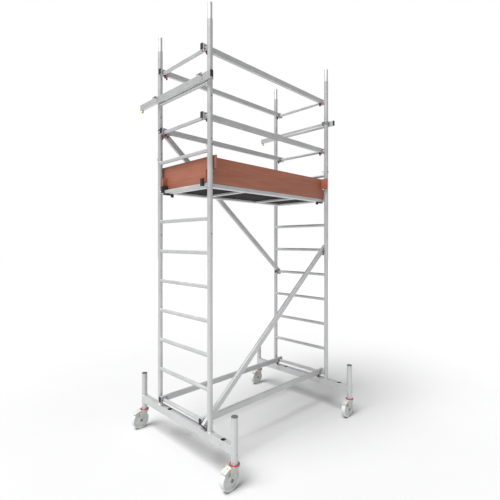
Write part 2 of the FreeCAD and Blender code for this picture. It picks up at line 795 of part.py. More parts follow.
save("support_arms", [arm_tube(), mirror_x(arm_tube())])
save("arm_couplers", [shape for sy in (-1, 1) for shape in (coupler(sy), mirror_x(coupler(sy)))])
save("arm_hooks", [arm_hook(), mirror_x(arm_hook())])
for sy, edge in ((-1, "near"), (1, "far")):
    save("hand_screw_" + edge + "_left", [hand_screw(sy)])
    save("hand_screw_" + edge + "_right", [mirror_x(hand_screw(sy))])
    caps += [arm_cap(sy), mirror_x(arm_cap(sy))]
save("end_caps", caps)
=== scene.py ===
"""Looks of a mobile tower scaffold, in metres. X runs along the deck, -Y is the near long side."""
import math

import bmesh
import bpy
from mathutils import Matrix, Vector


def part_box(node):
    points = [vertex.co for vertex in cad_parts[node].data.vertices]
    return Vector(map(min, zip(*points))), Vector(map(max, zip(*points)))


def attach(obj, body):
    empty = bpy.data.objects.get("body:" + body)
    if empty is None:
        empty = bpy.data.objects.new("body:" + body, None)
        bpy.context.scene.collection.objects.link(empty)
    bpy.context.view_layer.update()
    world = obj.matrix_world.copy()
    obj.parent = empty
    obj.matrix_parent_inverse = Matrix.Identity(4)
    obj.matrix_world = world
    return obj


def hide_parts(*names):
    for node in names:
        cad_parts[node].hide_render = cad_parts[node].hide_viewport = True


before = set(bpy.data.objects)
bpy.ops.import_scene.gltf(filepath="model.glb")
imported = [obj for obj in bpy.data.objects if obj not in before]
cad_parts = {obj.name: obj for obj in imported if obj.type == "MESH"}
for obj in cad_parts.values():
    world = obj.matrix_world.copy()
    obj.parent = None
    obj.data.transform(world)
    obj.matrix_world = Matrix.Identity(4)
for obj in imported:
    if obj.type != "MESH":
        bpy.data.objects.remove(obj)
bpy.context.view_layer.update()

MM = 0.001
SIDES = ("left", "right")
EDGES = ("near", "far")
CORNERS = [edge + "_" + side for side in SIDES for edge in EDGES]

# Easing of edges
MERGE_WITHIN = 0.002 * MM
FLAT_ANGLE = math.radians(0.6)
SHARP_ANGLE = math.radians(40)

# Tubes of the frames
UPRIGHT_R = 20 * MM
RUNG_R = 14 * MM
RUNG_PITCH = 250 * MM
FIRST_RUNG = 50 * MM
RUNGS = 12
FLUTES = 40
FLUTE_DEPTH = 0.4 * MM
FLUTE_BED = 0.06 * MM
FLUTE_TUCK = 3 * MM
POST_R = 24 * MM

# Weld beads
BEAD_R = 2.2 * MM
BEAD_SIDES = 7
BEAD_SWELL = 0.45 * MM
RUNG_BEAD_STEP = 0.9 * MM
FOOT_BEAD_STEP = 0.8 * MM
RUNG_BEAD_RINGS = 30
FOOT_BEAD_RINGS = 48

# Rails, braces and claws
RAIL_W = 25 * MM
RAIL_H = 45 * MM
RAIL_OVERRUN = 40 * MM
RAIL_RISE = 9 * MM
CHEEK_FACE = 15.5 * MM
CAP_T = 6 * MM
CAP_PLUG = 0.5 * MM
CAP_RIM = 2.2 * MM
LATCH_PIN = (27 * MM, -19.5 * MM)
LEVER_ANGLE = math.radians(75)
THUMB_RIDGES = 4
RIDGE_LOW = (-0.9 * MM, -7 * MM, -4.1 * MM)
RIDGE_HIGH = (0.9 * MM, 7 * MM, -2.2 * MM)
RIDGE_START = 11.5 * MM
RIDGE_PITCH = 3.1 * MM
RIDGE_RISE = 7.2 * MM
RIVET_R = 3.4 * MM
RIVET_H = 1.4 * MM
RIVET_SPOTS = ((-17 * MM, 16 * MM), (20 * MM, 17 * MM))
MEMBERS = {
    "top_near": (12, 12), "top_far": (12, 12), "mid_near": (10, 10), "mid_far": (10, 10),
    "base_near": (1, 1), "base_far": (1, 1), "brace_near": (1, 6), "brace_far": (10, 5),
}

# Castors
WHEEL_R = 75 * MM
WHEEL_W = 40 * MM
AXLE_BORE = 6.05 * MM
LEG_FACE = 26 * MM
BOLT_R = 10 * MM
BOLT_H = 6.9 * MM
SHANK_PLAY = 0.25 * MM
WASHER_T = 1.4 * MM
PEDAL_LIFT = math.radians(8)
PEDAL_PIVOT = Vector((-6 * MM, 0, 82 * MM))
PEDAL_OUTER = 80.4 * MM
PEDAL_RIDGES = range(113, 138, 4)
TREAD_LOW = (PEDAL_OUTER - 0.8 * MM, -22 * MM, -1.0 * MM)
TREAD_HIGH = (PEDAL_OUTER + 1.2 * MM, 22 * MM, 1.0 * MM)
SPOT_ANGLE = 104.5
SPOT_R = 4.2 * MM
SPOT_T = 2.4 * MM
# Steps from the tread's side to the bore, in mm: how far in, and how far out of the face
WHEEL_STEPS = (
    (7.5, 0), (3, -7.5), (1.2, 0), (29, 0), (1.0, 0), (2.5, 8.8), (1.2, 0), (6.5, 0), (1.2, -1.6),
)
# Start and end of each pressed rib, in mm before and above the axle
FORK_RIBS = (((-2, 66), (-2, 20)), ((20, 68), (8, 18)))
RIB_HALF_W = 2.4 * MM
RIB_RISE = 1.3 * MM
RIB_SINK = 1.0 * MM

# Deck
CROSS_BEAM_X = 330 * MM
PANEL_SCREWS = 5
SCREW_R = 4.2 * MM
SCREW_T = 1.6 * MM
SCREW_FROM_END = 14 * MM
SCREW_FROM_SEAM = 6 * MM
SCREW_FROM_SIDE = 30 * MM
LEAF_T = 2 * MM
LEAF_SCREW_INSET = 10 * MM
LEAF_MIDDLE = 40 * MM
LEAF_SCREWS = (-30 * MM, 0, 30 * MM)
STRAP_MIDDLE = 13.5 * MM
STRAP_SCREWS = (9 * MM, 27 * MM)
DECK_RIVETS = (-710, -690, -336, -324, 324, 336, 690, 710)
DECK_RIVET_DROP = 15 * MM
PULL_FROM_EDGE = 55 * MM
PULL_HALF = (62 * MM, 32 * MM)
PULL_SINK = 0.6 * MM
PULL_T = 1.8 * MM
PULL_RIM = 9 * MM
WIRE_RISE = 3.2 * MM
WIRE_R = 2.6 * MM
WIRE_ARM_R = 2.2 * MM
WIRE_REACH = (38 * MM, 14 * MM)
GRIP_LENGTH = 84 * MM
HINGE_LENGTH = 96 * MM

# Support arms and lift-off locks
SCREW_KNOB_R = 4.5 * MM
STEM_R = 5 * MM
BOSS_R = 7.5 * MM
BOSS_LENGTH = 12 * MM
BOSS_INSET = 3 * MM
BAR_R = 3.4 * MM
BAR_SHORTER = 5 * MM
THREAD_PITCH = 1.8 * MM
THREAD_ROOT = 0.87
CLAMP_BOLT_OUT = 23.7 * MM
CLAMP_BOLT_R = 6.2 * MM
CLAMP_BOLT_H = 4.5 * MM
CLAMP_WASHER_R = 7.6 * MM
CLAMP_WASHER_T = 1.2 * MM
ARM_RIVET_SHIFT = 220 * MM
LOCK_PIVOT = 12 * MM
GRIP_R = 13 * MM
GRIP_H = 15 * MM
GRIP_DROP = 7 * MM
GRIP_SIDES = 24

# Light and camera
FLOOR_SIZE = 60
AIR_COLOR = (0.98, 0.985, 1.0, 1.0)
AIR_STRENGTH = 0.38
BACKDROP_COLOR = (1.0, 1.0, 1.0, 1.0)
LAMP_STRENGTH = 4.6
LAMP_SPREAD = math.radians(35)
LAMP_TRAVEL = Vector((0.44, -0.02, -0.90))
CAMERA_PLACE = (-2.4435, -2.461, 1.659)
CAMERA_TURN = (math.radians(90), 0, math.radians(-45))
CAMERA_FILM = 36.0
CAMERA_LENS = 26.87
CAMERA_REACH = 200.0
CAMERA_SHIFT = -0.0152


# ---------------------------------------------------------------- working on pieces
def clear_selection():
    for other in bpy.context.selected_objects:
        other.select_set(False)


def take(piece):
    clear_selection()
    piece.select_set(True)
    bpy.context.view_layer.objects.active = piece


def open_edit(piece, kind="FACE"):
    take(piece)
    bpy.ops.object.mode_set(mode="EDIT")
    bpy.ops.mesh.select_mode(type=kind)


def close_edit():
    bpy.ops.object.mode_set(mode="OBJECT")


def pick_faces(piece, test):
    """Selects the faces whose middle and normal pass the test. The piece is open for editing."""
    mesh = bmesh.from_edit_mesh(piece.data)
    bpy.ops.mesh.select_all(action="DESELECT")
    for face in mesh.faces:
        if test(face.calc_center_median(), face.normal):
            face.select_set(True)
    bmesh.update_edit_mesh(piece.data)


def pick_edges(piece, test):
    """Selects the edges whose two ends pass the test. The piece is open for editing."""
    mesh = bmesh.from_edit_mesh(piece.data)
    bpy.ops.mesh.select_all(action="DESELECT")
    for edge in mesh.edges:
        if test(edge.verts[0].co, edge.verts[1].co):
            edge.select_set(True)
    bmesh.update_edit_mesh(piece.data)


def settle(piece):
    """Puts the piece's place, turn and scale into its mesh."""
    take(piece)
    bpy.ops.object.transform_apply(location=True, rotation=True, scale=True)


def smooth(piece, angle=32):
    take(piece)
    bpy.ops.object.shade_smooth_by_angle(angle=math.radians(angle))


def block(name, low, high, edge, segments=2):
    """A block between two corners, with its edges eased."""
    clear_selection()
    low, high = Vector(low), Vector(high)
    bpy.ops.mesh.primitive_cube_add(size=1, location=(low + high) / 2, scale=high - low)
    piece = bpy.context.object
    piece.name = name
    settle(piece)
    open_edit(piece, "EDGE")
    bpy.ops.mesh.select_all(action="SELECT")
    bpy.ops.mesh.bevel(offset=edge, segments=segments, affect="EDGES")
    close_edit()
    smooth(piece)
    return piece


def rod(name, radius, depth, centre, axis, sides, edge=0.0, segments=2):
    """A round bar along an axis letter, with its end edges eased."""
    clear_selection()
    turns = {"X": (0, math.pi / 2, 0), "Y": (math.pi / 2, 0, 0), "Z": (0, 0, 0)}
    bpy.ops.mesh.primitive_cylinder_add(
        vertices=sides, radius=radius, depth=depth, location=centre, rotation=turns[axis])
    piece = bpy.context.object
    piece.name = name
    settle(piece)
    if edge:
        along = "XYZ".index(axis)
        ends = [centre[along] - depth / 2, centre[along] + depth / 2]
        open_edit(piece, "EDGE")
        pick_edges(piece, lambda a, b: any(
            abs(a[along] - end) < 1e-6 and abs(b[along] - end) < 1e-6 for end in ends))
        bpy.ops.mesh.bevel(offset=edge, segments=segments, affect="EDGES")
        close_edit()
    smooth(piece)
    return piece


def copy_at(master, matrix, name="copy"):
    piece = bpy.data.objects.new(name, master.data.copy())
    bpy.context.scene.collection.objects.link(piece)
    piece.data.transform(matrix)
    if matrix.determinant() < 0:
        piece.data.flip_normals()
    return piece


def scrap(piece):
    bpy.data.objects.remove(piece)


def join(name, parts):
    """One object from several parts."""
    clear_selection()
    for part in parts:
        part.select_set(True)
    bpy.context.view_layer.objects.active = parts[0]
    if len(parts) > 1:
        bpy.ops.object.join()
    whole = parts[0]
    whole.name = name
    return whole


def repeat(name, master, matrices):
    """Copies of a master at many places, as one object. The master is thrown away."""
    copies = [copy_at(master, matrix) for matrix in matrices]
    scrap(master)
    return join(name, copies)


def at(x, y, z):
    return Matrix.Translation((x, y, z))


def turned(axis, degrees):
    return Matrix.Rotation(math.radians(degrees), 4, axis)


def eased(name, node, width, segments=2):
    """A copy of a frame node with its hard edges eased by width."""
    piece = bpy.data.objects.new(name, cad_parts[node].data.copy())
    bpy.context.scene.collection.objects.link(piece)
    piece.data.materials.clear()
    open_edit(piece, "VERT")
    bpy.ops.mesh.select_all(action="SELECT")
    bpy.ops.mesh.remove_doubles(threshold=MERGE_WITHIN)
    bpy.ops.mesh.dissolve_limited(angle_limit=FLAT_ANGLE, delimit=set())
    close_edit()
    take(piece)
    bevel = piece.modifiers.new("ease", "BEVEL")
    bevel.limit_method = "ANGLE"
    bevel.angle_limit = SHARP_ANGLE
    bevel.width = width
    bevel.segments = segments
    bevel.use_clamp_overlap = False
    bevel.miter_outer = "MITER_ARC"
    bpy.ops.object.modifier_apply(modifier=bevel.name)
    smooth(piece, 35)
    return piece


def fit(piece, body, finish, nodes=()):
    """Gives a finished piece its surface, its body and the nodes it stands for."""
    piece.data.materials.clear()
    piece.data.materials.append(finish)
    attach(piece, body)
    if nodes:
        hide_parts(*nodes)
    return piece


# ---------------------------------------------------------------- places read from the frame
def middle(node):
    low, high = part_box(node)
    return (low + high) / 2


frame_low, frame_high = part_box("lower_frames")
FOOT_Z = frame_low.z
FRAME_X = (frame_low.x + UPRIGHT_R, frame_high.x - UPRIGHT_R)
FRAME_Y = (frame_low.y + UPRIGHT_R, frame_high.y - UPRIGHT_R)
SPAN = FRAME_X[1] - FRAME_X[0]
MIDDLE_X = FRAME_X[0] + SPAN / 2
POST_Y = tuple(middle("wheel_" + edge + "_left").y for edge in EDGES)
DECK_LOW, DECK_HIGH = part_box("deck_beams")


def rung_z(number):
    return FOOT_Z + FIRST_RUNG + (number - 1) * RUNG_PITCH


def member_place(member):
    """The matrix and length of a rail or brace drawn from its left rung along X."""
    left, right = MEMBERS[member]
    rise = rung_z(right) - rung_z(left)
    across = middle("latch_" + member + "_left").y
    slope = Matrix.Rotation(-math.atan2(rise, SPAN), 4, "Y")
    return at(FRAME_X[0], across, rung_z(left)) @ slope, math.hypot(SPAN, rise)


# ---------------------------------------------------------------- materials
class Finish:
    """A material under construction: helpers that add and link its nodes."""

    def __init__(self, name, roughness, metallic=0.0, coat=0.0):
        self.material = bpy.data.materials.new(name)
        self.material.use_nodes = True
        self.tree = self.material.node_tree
        self.shader = self.tree.nodes["Principled BSDF"]
        self.shader.inputs["Roughness"].default_value = roughness
        self.shader.inputs["Metallic"].default_value = metallic
        self.shader.inputs["Coat Weight"].default_value = coat
        self.place = self.node("ShaderNodeTexCoord").outputs["Object"]
        self.height = None

    def node(self, kind, **settings):
        made = self.tree.nodes.new(kind)
        for key, value in settings.items():
            setattr(made, key, value)
        return made

    def link(self, output, socket):
        self.tree.links.new(output, socket)

    def stretched(self, scale):
        mapping = self.node("ShaderNodeMapping")
        mapping.inputs["Scale"].default_value = scale
        self.link(self.place, mapping.inputs["Vector"])
        return mapping.outputs["Vector"]

    def noise(self, scale, detail=3.0, place=None, rough=0.55):
        made = self.node("ShaderNodeTexNoise")
        made.inputs["Scale"].default_value = scale
        made.inputs["Detail"].default_value = detail
        made.inputs["Roughness"].default_value = rough
        self.link(place or self.place, made.inputs["Vector"])
        return made.outputs["Fac"]

    def cells(self, scale):
        """One tone for each cell of a random pattern."""
        made = self.node("ShaderNodeTexVoronoi", feature="F1")
        made.inputs["Scale"].default_value = scale
        self.link(self.place, made.inputs["Vector"])
        return made.outputs["Color"]

    def ramp(self, source, stops):
        """Colours along a value, as pairs of place and colour."""
        made = self.node("ShaderNodeValToRGB")
        points = made.color_ramp.elements
        while len(points) < len(stops):
            points.new(0.5)
        for point, (position, color) in zip(points, stops):
            point.position = position
            point.color = (*color, 1.0)
        self.link(source, made.inputs["Fac"])
        return made.outputs["Color"]

    def level(self, source, low, high, start=0.0, end=1.0):
        """Stretches low..high to start..end, and holds it there."""
        made = self.node("ShaderNodeMapRange")
        made.clamp = True
        for key, value in (("From Min", low), ("From Max", high), ("To Min", start), ("To Max", end)):
            made.inputs[key].default_value = value
        self.link(source, made.inputs["Value"])
        return made.outputs["Result"]

    def math(self, operation, first, second):
        made = self.node("ShaderNodeMath", operation=operation)
        for socket, value in zip(made.inputs, (first, second)):
            if isinstance(value, (int, float)):
                socket.default_value = value
            else:
                self.link(value, socket)
        return made.outputs["Value"]

    def facing(self):
        """The way the surface faces, split in X, Y and Z, in the piece's own frame."""
        split = self.node("ShaderNodeSeparateXYZ")
        self.link(self.node("ShaderNodeTexCoord").outputs["Normal"], split.inputs["Vector"])
        return split

    def axis(self, letter):
        split = self.node("ShaderNodeSeparateXYZ")
        self.link(self.place, split.inputs["Vector"])
        return split.outputs[letter]

    def mix(self, factor, first, second, blend="MIX"):
        made = self.node("ShaderNodeMix", data_type="RGBA", blend_type=blend)
        for socket, value in ((made.inputs["Factor"], factor), (made.inputs["A"], first),
                              (made.inputs["B"], second)):
            socket = self.color_socket(made, socket)
            if isinstance(value, tuple):
                socket.default_value = (*value, 1.0)
            elif isinstance(value, float):
                socket.default_value = value
            else:
                self.link(value, socket)
        return [o for o in made.outputs if o.type == "RGBA"][0]

    @staticmethod
    def color_socket(node, socket):
        """The colour twin of a Mix node's socket, since its number sockets share its names."""
        if socket.name == "Factor":
            return node.inputs[0]
        return [s for s in node.inputs if s.name == socket.name and s.type == "RGBA"][0]

    def color(self, output):
        self.link(output, self.shader.inputs["Base Color"])

    def roughness(self, output):
        self.link(output, self.shader.inputs["Roughness"])

    def bump(self, height, strength, distance):
        """Adds one more layer of relief under those already there."""
        made = self.node("ShaderNodeBump")
        made.inputs["Strength"].default_value = strength
        made.inputs["Distance"].default_value = distance
        self.link(height, made.inputs["Height"])
        if self.height is not None:
            self.link(self.height, made.inputs["Normal"])
        self.height = made.outputs["Normal"]
        self.link(self.height, self.shader.inputs["Normal"])


def drawn_aluminium(name, stretch):
    """Satin drawn aluminium: fine lines along the tube, soft clouds and a few rubbed marks."""
    skin = Finish(name, 0.42, metallic=0.55)
    lines = skin.noise(1.0, 2.0, skin.stretched(stretch))
    clouds = skin.noise(7.0, 4.0)
    marks = skin.noise(38.0, 5.0, rough=0.7)
    tone = skin.ramp(clouds, [(0.3, (0.56, 0.563, 0.566)), (0.7, (0.64, 0.642, 0.645))])
    tone = skin.mix(skin.level(lines, 0.35, 0.65, 0.0, 0.35), tone, (0.48, 0.483, 0.486))
    tone = skin.mix(skin.level(marks, 0.62, 0.75, 0.0, 0.3), tone, (0.37, 0.37, 0.37))
    skin.color(tone)
    skin.roughness(skin.level(skin.math("ADD", lines, clouds), 0.7, 1.3, 0.34, 0.5))
    skin.bump(lines, 0.25, 0.0002)
    skin.bump(marks, 0.08, 0.0004)
    return skin.material


def zinc_plate():
    """Zinc plate with faint spangle and darker smudges."""
    skin = Finish("zinc_plate", 0.4, metallic=0.75)
    spangle = skin.cells(420.0)
    smudge = skin.noise(60.0, 5.0, rough=0.65)
    base = skin.ramp(smudge, [(0.35, (0.26, 0.265, 0.27)), (0.62, (0.47, 0.475, 0.48))])
    skin.color(skin.mix(0.18, base, spangle, "SOFT_LIGHT"))
    skin.roughness(skin.level(smudge, 0.3, 0.7, 0.5, 0.32))
    skin.bump(smudge, 0.15, 0.0004)
    return skin.material


def moulded(name, dark, light, roughness, grain=900.0, coat=0.0):
    """Moulded plastic: fine grain, small shifts of tone and scuffs."""
    skin = Finish(name, roughness, coat=coat)
    cloud = skin.noise(25.0, 4.0)
    scuff = skin.noise(160.0, 6.0, rough=0.75)
    tone = skin.ramp(cloud, [(0.3, dark), (0.7, light)])
    worn = tuple(min(1.0, c * 1.6 + 0.03) for c in light)
    skin.color(skin.mix(skin.level(scuff, 0.64, 0.78, 0.0, 0.5), tone, worn))
    skin.roughness(skin.level(scuff, 0.3, 0.7, roughness - 0.08, roughness + 0.12))
    skin.bump(skin.noise(grain, 2.0), 0.2, 0.0002)
    return skin.material


def painted(name, dark, light, chip, roughness):
    """Enamel over steel: orange peel, a little dirt and small chips."""
    skin = Finish(name, roughness, coat=0.2)
    cloud = skin.noise(30.0, 5.0)
    chips = skin.noise(240.0, 6.0, rough=0.8)
    tone = skin.ramp(cloud, [(0.3, dark), (0.7, light)])
    skin.color(skin.mix(skin.level(chips, 0.68, 0.72, 0.0, 0.8), tone, chip))
    skin.roughness(skin.level(cloud, 0.3, 0.7, roughness - 0.06, roughness + 0.12))
    skin.bump(skin.noise(700.0, 1.0), 0.12, 0.0002)
    skin.bump(skin.level(chips, 0.68, 0.72, 1.0, 0.0), 0.2, 0.0002)
    return skin.material


def wheel_plastic():
    """Off-white cast polyamide, greyer in gritty patches towards the bottom of the wheel, with scuffed
    roughness.
    """
    skin = Finish("wheel_plastic", 0.45)
    cloud = skin.noise(22.0, 4.0)
    grit = skin.noise(190.0, 6.0, rough=0.75)
    tone = skin.ramp(cloud, [(0.3, (0.60, 0.61, 0.61)), (0.7, (0.70, 0.705, 0.70))])
    # Greyer towards the bottom: the patches are strongest at the floor and gone 5 cm up.
    low = skin.level(skin.axis("Z"), 0.0, 0.05, 0.35, 0.0)
    darkening = skin.math("MULTIPLY", skin.level(grit, 0.45, 0.65), low)
    skin.color(skin.mix(darkening, tone, (0.36, 0.35, 0.34)))
    skin.roughness(skin.level(grit, 0.3, 0.7, 0.36, 0.56))
    skin.bump(skin.noise(500.0, 2.0), 0.1, 0.0003)
    return skin.material


def board_film(name, grain_scale):
    """Film-faced toe board: red-brown film with the grain showing through and rubbed patches."""
    skin = Finish(name, 0.42, coat=0.12)
    normal = skin.facing()
    across = skin.level(skin.math("ABSOLUTE", normal.outputs["X"], 0.0), 0.4, 0.6)
    turned_scale = (grain_scale[1], grain_scale[0], grain_scale[2])
    long_grain = skin.noise(1.0, 5.0, skin.stretched(grain_scale), rough=0.65)
    short_grain = skin.noise(1.0, 5.0, skin.stretched(turned_scale), rough=0.65)
    grain = skin.mix(across, long_grain, short_grain)
    cloud = skin.noise(5.0, 3.0)
    fleck = skin.noise(420.0, 2.0)
    tone = skin.ramp(grain, [(0.3, (0.290, 0.094, 0.055)), (0.55, (0.355, 0.125, 0.075)),
                             (0.75, (0.40, 0.150, 0.092))])
    tone = skin.mix(skin.level(cloud, 0.35, 0.7, 0.0, 0.3), tone, (0.38, 0.150, 0.098))
    tone = skin.mix(skin.level(fleck, 0.66, 0.8, 0.0, 0.5), tone, (0.16, 0.06, 0.045))
    sealed = skin.level(skin.math("ABSOLUTE", normal.outputs["Z"], 0.0), 0.5, 0.8)
    skin.color(skin.mix(sealed, tone, (0.21, 0.05, 0.03)))
    skin.roughness(skin.level(cloud, 0.3, 0.7, 0.34, 0.5))
    skin.bump(grain, 0.2, 0.0004)
    return skin.material


def deck_ply():
    """Dark film-faced plywood: wire-mesh print on top, plain film below, plies at the edges."""
    skin = Finish("deck_ply", 0.7)
    skin.shader.inputs["Specular IOR Level"].default_value = 0.06
    cloud = skin.noise(9.0, 4.0)
    speck = skin.noise(300.0, 3.0)
    film = skin.ramp(cloud, [(0.3, (0.008, 0.006, 0.005)), (0.7, (0.016, 0.012, 0.011))])
    film = skin.mix(skin.level(speck, 0.62, 0.75, 0.0, 0.35), film, (0.035, 0.028, 0.025))
    plies = skin.node("ShaderNodeTexWave", bands_direction="Z")
    plies.inputs["Scale"].default_value = 210.0
    plies.inputs["Distortion"].default_value = 0.6
    skin.link(skin.place, plies.inputs["Vector"])
    edge = skin.ramp(plies.outputs["Fac"], [(0.35, (0.10, 0.055, 0.035)), (0.65, (0.24, 0.155, 0.10))])
    normal = skin.facing()
    flat = skin.math("ABSOLUTE", normal.outputs["Z"], 0.0)
    skin.color(skin.mix(skin.level(flat, 0.2, 0.6), edge, film))
    skin.roughness(skin.level(cloud, 0.3, 0.7, 0.62, 0.8))
    weave = skin.stretched((150.0, 150.0, 0.0))
    mesh = skin.node("ShaderNodeTexVoronoi", feature="DISTANCE_TO_EDGE")
    mesh.inputs["Scale"].default_value = 1.0
    mesh.inputs["Randomness"].default_value = 0.12
    skin.link(weave, mesh.inputs["Vector"])
    print_depth = skin.level(mesh.outputs["Distance"], 0.04, 0.16)
    top_only = skin.level(normal.outputs["Z"], 0.5, 0.9)
    skin.bump(skin.math("MULTIPLY", print_depth, top_only), 0.8, 0.0006)
    skin.bump(speck, 0.15, 0.0003)
    return skin.material


def floor_paint():
    """Plain pale floor paint with painted light: it gets lighter with distance from the middle of the
    floor, fading into the white backdrop.
    """
    skin = Finish("pale_floor", 0.55)
    cloud = skin.noise(0.9, 3.0)
    tone = skin.ramp(cloud, [(0.3, (0.585, 0.585, 0.585)), (0.7, (0.60, 0.60, 0.60))])
    reach = skin.node("ShaderNodeVectorMath", operation="LENGTH")
    skin.link(skin.place, reach.inputs[0])
    # Painted light: the floor colour brightens from 1.5 m to 9 m out from the middle.
    skin.color(skin.mix(skin.level(reach.outputs["Value"], 1.5, 9.0), tone, (0.74, 0.74, 0.74)))
    return skin.material


ALUMINIUM_X = drawn_aluminium("aluminium_along_deck", (2.0, 700.0, 700.0))
ALUMINIUM_Y = drawn_aluminium("aluminium_across", (700.0, 2.0, 700.0))
ALUMINIUM_Z = drawn_aluminium("aluminium_upright", (700.0, 700.0, 2.0))
WELD = drawn_aluminium("weld_bead", (500.0, 500.0, 500.0))
ZINC = zinc_plate()
BLACK = moulded("black_moulding", (0.012, 0.012, 0.013), (0.026, 0.026, 0.028), 0.5)
BLACK_CAST = moulded("black_casting", (0.014, 0.014, 0.015), (0.03, 0.03, 0.032), 0.42,
                     grain=500.0)
RED = painted("dark_red_paint", (0.17, 0.006, 0.014), (0.25, 0.010, 0.022), (0.30, 0.29, 0.28), 0.38)
RED_RING = moulded("red_collar", (0.34, 0.012, 0.026), (0.46, 0.018, 0.036), 0.34, coat=0.2)
CREAM = painted("cream_enamel", (0.50, 0.505, 0.455), (0.60, 0.605, 0.55), (0.30, 0.30, 0.28), 0.34)
WHEEL = wheel_plastic()
BOARD_X = board_film("board_along", (3.0, 60.0, 60.0))
DECK_PLY = deck_ply()
LIME = moulded("lime_moulding", (0.27, 0.50, 0.06), (0.37, 0.64, 0.10), 0.3, coat=0.3)
GREY = moulded("grey_moulding", (0.075, 0.077, 0.08), (0.12, 0.123, 0.127), 0.45)
STEEL_WORN = painted("worn_steel", (0.15, 0.148, 0.14), (0.24, 0.237, 0.225), (0.40, 0.40, 0.39),
                     0.4)
STEEL_DARK = moulded("dark_bolt_steel", (0.10, 0.10, 0.105), (0.20, 0.20, 0.205), 0.36)


def cover_nodes():
    """Gives the frame's own nodes their surfaces."""
    finishes = {
        "lower_frames": ALUMINIUM_Z, "upper_frames": ALUMINIUM_Z, "end_posts": ALUMINIUM_Z,
        "base_beams": ALUMINIUM_Y, "support_arms": ALUMINIUM_Y, "rails": ALUMINIUM_X,
        "diagonal_braces": ALUMINIUM_X, "deck_beams": ALUMINIUM_X,
        "deck_panels": DECK_PLY, "hatch_panel": DECK_PLY,
    }
    for name, finish in finishes.items():
        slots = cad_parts[name].data.materials
        slots.clear()
        slots.append(finish)


# ---------------------------------------------------------------- frames
def fluted_rungs():
    """Grip flutes around every rung, between the uprights."""
    length = FRAME_Y[1] - FRAME_Y[0] - 2 * UPRIGHT_R + 2 * FLUTE_TUCK
    outer = RUNG_R + FLUTE_DEPTH + FLUTE_BED
    sleeve = rod("rung_flutes", outer, length, (0, 0, 0), "Y", FLUTES * 2)
    open_edit(sleeve, "EDGE")
    step = math.pi / FLUTES

    def valley(a, b):
        if abs(a.y - b.y) < 1 * MM:
            return False
        return round(math.atan2(a.z, a.x) / step) % 2 == 0

    pick_edges(sleeve, valley)
    shrink = (RUNG_R + FLUTE_BED) / outer
    bpy.ops.transform.resize(value=(shrink, 1, shrink), center_override=(0, 0, 0))
    close_edit()
    smooth(sleeve, 60)
    spots = [at(x, sum(FRAME_Y) / 2, rung_z(n)) for x in FRAME_X for n in range(1, RUNGS + 1)]
    fit(repeat("rung_flutes", sleeve, spots), "tower", ALUMINIUM_Y)


def weld_bead(radius, rings):
    """A ring of weld round the Z axis, every third of its rings swollen as laid."""
    clear_selection()
    bpy.ops.mesh.primitive_torus_add(
        major_radius=radius, minor_radius=BEAD_R, major_segments=rings, minor_segments=BEAD_SIDES)
    bead = bpy.context.object
    bead.name = "bead"
    open_edit(bead)
    step = 2 * math.pi / rings
    pick_faces(bead, lambda c, n: int(math.atan2(c.y, c.x) / step + rings) % 3 == 0)
    bpy.ops.transform.shrink_fatten(value=BEAD_SWELL)
    close_edit()
    smooth(bead, 70)
    return bead


def rung_welds():
    """A bead around each rung where it meets the upright, saddled over the round tube."""
    bead = weld_bead(RUNG_R + RUNG_BEAD_STEP, RUNG_BEAD_RINGS)
    for vertex in bead.data.vertices:
        side = min(abs(vertex.co.x), UPRIGHT_R)
        vertex.co.z += UPRIGHT_R - math.sqrt(UPRIGHT_R ** 2 - side ** 2)
    smooth(bead, 70)
    spots = []
    for x in FRAME_X:
        for number in range(1, RUNGS + 1):
            spots.append(at(x, FRAME_Y[0] + UPRIGHT_R, rung_z(number)) @ turned("X", 90))
            spots.append(at(x, FRAME_Y[1] - UPRIGHT_R, rung_z(number)) @ turned("X", -90))
    fit(repeat("rung_welds", bead, spots), "tower", WELD)


def beam_and_foot_welds():
    """Half beads where a base beam meets its end posts, and whole ones at the uprights' feet."""
    bead = weld_bead(POST_R + FOOT_BEAD_STEP, FOOT_BEAD_RINGS)
    open_edit(bead)
    bpy.ops.mesh.select_all(action="SELECT")
    bpy.ops.mesh.bisect(plane_co=(0, 0, 0), plane_no=(0, 1, 0), use_fill=True, clear_inner=True)
    close_edit()
    low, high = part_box("base_beams")
    spots = []
    for x in FRAME_X:
        for z in (low.z, high.z):
            spots.append(at(x, POST_Y[0], z))
            spots.append(at(x, POST_Y[1], z) @ turned("Z", 180))
    fit(repeat("beam_welds", bead, spots), "tower", WELD)
    bead = weld_bead(UPRIGHT_R + FOOT_BEAD_STEP, FOOT_BEAD_RINGS)
    spots = [at(x, y, high.z) for x in FRAME_X for y in FRAME_Y]
    fit(repeat("foot_welds", bead, spots), "tower", WELD)


# ---------------------------------------------------------------- rails, braces and claws
def rivet():
    """A dome-headed rivet standing on Z = 0."""
    return rod("rivet", RIVET_R, RIVET_H * 2, (0, 0, 0), "Z", 14, edge=1.1 * MM, segments=3)


def claw_rivets():
    """Two rivets on each side of every claw."""
    spots = []
    for member in MEMBERS:
        place, length = member_place(member)
        for u, w in RIVET_SPOTS:
            for x in (u, length - u):
                for side in (-1, 1):
                    spots.append(place @ at(x, side * CHEEK_FACE, w) @ turned("X", -90 * side))
    fit(repeat("claw_rivets", rivet(), spots), "tower", ZINC)


def tube_cap(width, height):
    """A moulded cap whose outer face looks along -X, with a rim and a sunk middle."""
    low = (-CAP_T, -width / 2, -height / 2)
    high = (CAP_PLUG, width / 2, height / 2)
    cap = block("cap", low, high, 1.6 * MM, 3)
    open_edit(cap)
    pick_faces(cap, lambda c, n: n.x < -0.99)
    bpy.ops.mesh.inset(thickness=CAP_RIM)
    bpy.ops.mesh.inset(thickness=0.8 * MM, depth=-1.0 * MM)
    close_edit()
    smooth(cap)
    return cap


